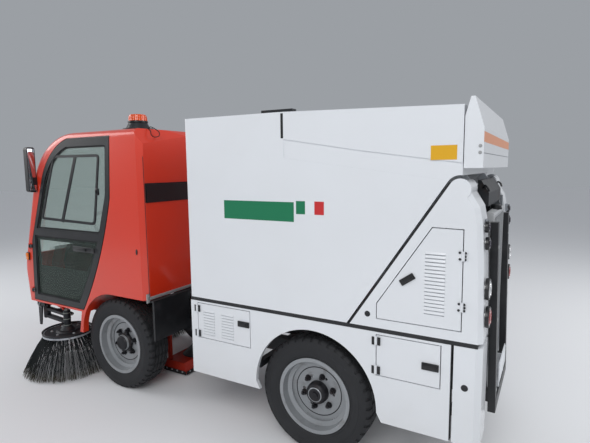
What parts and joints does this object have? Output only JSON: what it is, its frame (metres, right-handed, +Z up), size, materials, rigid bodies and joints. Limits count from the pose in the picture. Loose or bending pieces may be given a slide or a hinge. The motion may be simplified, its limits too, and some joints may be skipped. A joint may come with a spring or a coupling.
{
  "type": "compact street sweeper truck",
  "caption": "Compact street sweeper with an orange-red cab, white tipping hopper, two side brushes and a suction mouth",
  "frame": {"origin": "On the ground, under the middle of the vehicle's length and width.", "axes": "+Z up, -Y forward, +X towards the vehicle's left side."},
  "size_m": [1.778, 3.96, 2.1699],
  "materials": {
    "orange_paint": "gloss",
    "white_paint": "gloss",
    "black_frame": "satin",
    "chassis_grey": "satin",
    "light_grey": "satin",
    "silver_paint": "satin",
    "red_paint": "satin",
    "steel": "polished",
    "rubber": "matte",
    "pipe_rubber": "matte",
    "bristle": "matte",
    "glass": "polished",
    "dark_glass": "gloss",
    "amber": "gloss",
    "lamp": "gloss",
    "seat_fabric": "matte"
  },
  "bodies": {
    "chassis": {"cab_shell": "orange_paint", "front_bumper": "orange_paint", "mirrors": "black_frame", "back_board": "black_frame", "beacon_base": "black_frame", "belt_trim": "black_frame", "rear_guard": "black_frame", "front_carrier": "black_frame", "dashboard": "black_frame", "seat_box": "black_frame", "windscreen": "glass", "rear_window": "dark_glass", "beacon_lens": "amber", "side_skirts": "white_paint", "engine_panels": "white_paint", "rear_corners": "white_paint", "chassis_frame": "chassis_grey", "front_axle": "chassis_grey", "rear_axle": "chassis_grey", "chute": "chassis_grey", "engine_block": "chassis_grey", "rear_grille": "light_grey", "suction_mouth": "red_paint", "suction_pipe": "pipe_rubber", "head_lamps": "lamp", "tail_lamps": "lamp", "seat": "seat_fabric"},
    "hopper": {"hopper_shell": "white_paint", "lid_panels": "white_paint", "roof_bar": "chassis_grey"},
    "rear_cap": {"rear_hood": "white_paint"},
    "tip_barrel_body": {"tip_barrels": "red_paint"},
    "tip_rod_body": {"tip_rods": "steel"},
    "steering_wheel_body": {"steering_wheel": "black_frame"},
    "cab_door_body_left": {"cab_door_left": "black_frame", "door_glass_left": "glass"},
    "front_locker_body_left": {"front_locker_left": "white_paint"},
    "rear_locker_body_left": {"rear_locker_left": "white_paint"},
    "engine_door_body_left": {"engine_door_left": "white_paint"},
    "front_wheel_left": {"tyre_front_left": "rubber", "rim_front_left": "silver_paint"},
    "rear_wheel_left": {"tyre_rear_left": "rubber", "rim_rear_left": "silver_paint"},
    "steering_left": {"knuckle_left": "chassis_grey"},
    "brush_arm_body_left": {"brush_arm_left": "chassis_grey"},
    "brush_left": {"brush_disc_left": "chassis_grey", "bristles_left": "bristle"},
    "cab_door_body_right": {"cab_door_right": "black_frame", "door_glass_right": "glass"},
    "front_locker_body_right": {"front_locker_right": "white_paint"},
    "rear_locker_body_right": {"rear_locker_right": "white_paint"},
    "engine_door_body_right": {"engine_door_right": "white_paint"},
    "front_wheel_right": {"tyre_front_right": "rubber", "rim_front_right": "silver_paint"},
    "rear_wheel_right": {"tyre_rear_right": "rubber", "rim_rear_right": "silver_paint"},
    "steering_right": {"knuckle_right": "chassis_grey"},
    "brush_arm_body_right": {"brush_arm_right": "chassis_grey"},
    "brush_right": {"brush_disc_right": "chassis_grey", "bristles_right": "bristle"}
  },
  "joints": [
    {"name": "steer_left", "type": "hinge", "parent": "chassis", "child": "steering_left", "pos_m": [0.417, -0.77, 0.366], "axis": [0, 0, 1], "range_deg": [-25, 25]},
    {"name": "front_wheel_spin_left", "type": "hinge", "parent": "steering_left", "child": "front_wheel_left", "pos_m": [0.4975, -0.77, 0.366], "axis": [1, 0, 0], "continuous": true},
    {"name": "rear_wheel_spin_left", "type": "hinge", "parent": "chassis", "child": "rear_wheel_left", "pos_m": [0.4975, 0.985, 0.366], "axis": [1, 0, 0], "continuous": true},
    {"name": "cab_door_left_swing", "type": "hinge", "parent": "chassis", "child": "cab_door_body_left", "pos_m": [0.645, -1.819, 0], "axis": [0, 0, 1], "range_deg": [-75, 0]},
    {"name": "front_locker_left_swing", "type": "hinge", "parent": "chassis", "child": "front_locker_body_left", "pos_m": [0.648, 0.1255, 0], "axis": [0, 0, 1], "range_deg": [-90, 0]},
    {"name": "rear_locker_left_swing", "type": "hinge", "parent": "chassis", "child": "rear_locker_body_left", "pos_m": [0.648, 1.4015, 0], "axis": [0, 0, 1], "range_deg": [-90, 0]},
    {"name": "engine_door_left_swing", "type": "hinge", "parent": "chassis", "child": "engine_door_body_left", "pos_m": [0.648, 1.839, 0], "axis": [0, 0, 1], "range_deg": [0, 90]},
    {"name": "brush_arm_left_swing", "type": "hinge", "parent": "chassis", "child": "brush_arm_body_left", "pos_m": [0.5, -1.868, 0], "axis": [0, 0, 1], "range_deg": [-25, 0]},
    {"name": "brush_left_spin", "type": "hinge", "parent": "brush_arm_body_left", "child": "brush_left", "pos_m": [0.53, -1.525, 0.33], "axis": [0, 0, 1], "continuous": true},
    {"name": "steer_right", "type": "hinge", "parent": "chassis", "child": "steering_right", "pos_m": [-0.417, -0.77, 0.366], "axis": [0, 0, 1], "range_deg": [-25, 25]},
    {"name": "front_wheel_spin_right", "type": "hinge", "parent": "steering_right", "child": "front_wheel_right", "pos_m": [-0.4975, -0.77, 0.366], "axis": [1, 0, 0], "continuous": true},
    {"name": "rear_wheel_spin_right", "type": "hinge", "parent": "chassis", "child": "rear_wheel_right", "pos_m": [-0.4975, 0.985, 0.366], "axis": [1, 0, 0], "continuous": true},
    {"name": "cab_door_right_swing", "type": "hinge", "parent": "chassis", "child": "cab_door_body_right", "pos_m": [-0.645, -1.819, 0], "axis": [0, 0, 1], "range_deg": [0, 75]},
    {"name": "front_locker_right_swing", "type": "hinge", "parent": "chassis", "child": "front_locker_body_right", "pos_m": [-0.648, 0.1255, 0], "axis": [0, 0, 1], "range_deg": [0, 90]},
    {"name": "rear_locker_right_swing", "type": "hinge", "parent": "chassis", "child": "rear_locker_body_right", "pos_m": [-0.648, 1.4015, 0], "axis": [0, 0, 1], "range_deg": [0, 90]},
    {"name": "engine_door_right_swing", "type": "hinge", "parent": "chassis", "child": "engine_door_body_right", "pos_m": [-0.648, 1.839, 0], "axis": [0, 0, 1], "range_deg": [-90, 0]},
    {"name": "brush_arm_right_swing", "type": "hinge", "parent": "chassis", "child": "brush_arm_body_right", "pos_m": [-0.5, -1.868, 0], "axis": [0, 0, 1], "range_deg": [0, 25]},
    {"name": "brush_right_spin", "type": "hinge", "parent": "brush_arm_body_right", "child": "brush_right", "pos_m": [-0.53, -1.525, 0.33], "axis": [0, 0, 1], "continuous": true},
    {"name": "hopper_tip", "type": "hinge", "parent": "chassis", "child": "hopper", "pos_m": [0, 1.812, 1.645], "axis": [-1, 0, 0], "range_deg": [0, 40]},
    {"name": "rear_hood_lift", "type": "hinge", "parent": "hopper", "child": "rear_cap", "pos_m": [0, 1.836, 2.05], "axis": [1, 0, 0], "range_deg": [0, 70]},
    {"name": "tip_barrel_swing", "type": "hinge", "parent": "chassis", "child": "tip_barrel_body", "pos_m": [0, 1.18, 0.58], "axis": [-1, 0, 0], "range_deg": [-35, 35]},
    {"name": "tip_rod_slide", "type": "slide", "parent": "tip_barrel_body", "child": "tip_rod_body", "axis": [0, 0.4167, 0.9091], "range_m": [0, 0.36]},
    {"name": "steering_wheel_turn", "type": "hinge", "parent": "chassis", "child": "steering_wheel_body", "pos_m": [0, -1.39, 1.21], "axis": [0, 0.7809, 0.6247], "range_deg": [-260, 260]}
  ],
  "couplings": [
    {"joint": "steer_right", "follows": "steer_left", "ratio": 1},
    {"joint": "steering_wheel_turn", "follows": "steer_left", "ratio": 10},
    {"joint": "tip_barrel_swing", "follows": "hopper_tip", "ratio": -0.8},
    {"joint": "tip_rod_slide", "follows": "hopper_tip", "m_per_rad": 0.46}
  ]
}
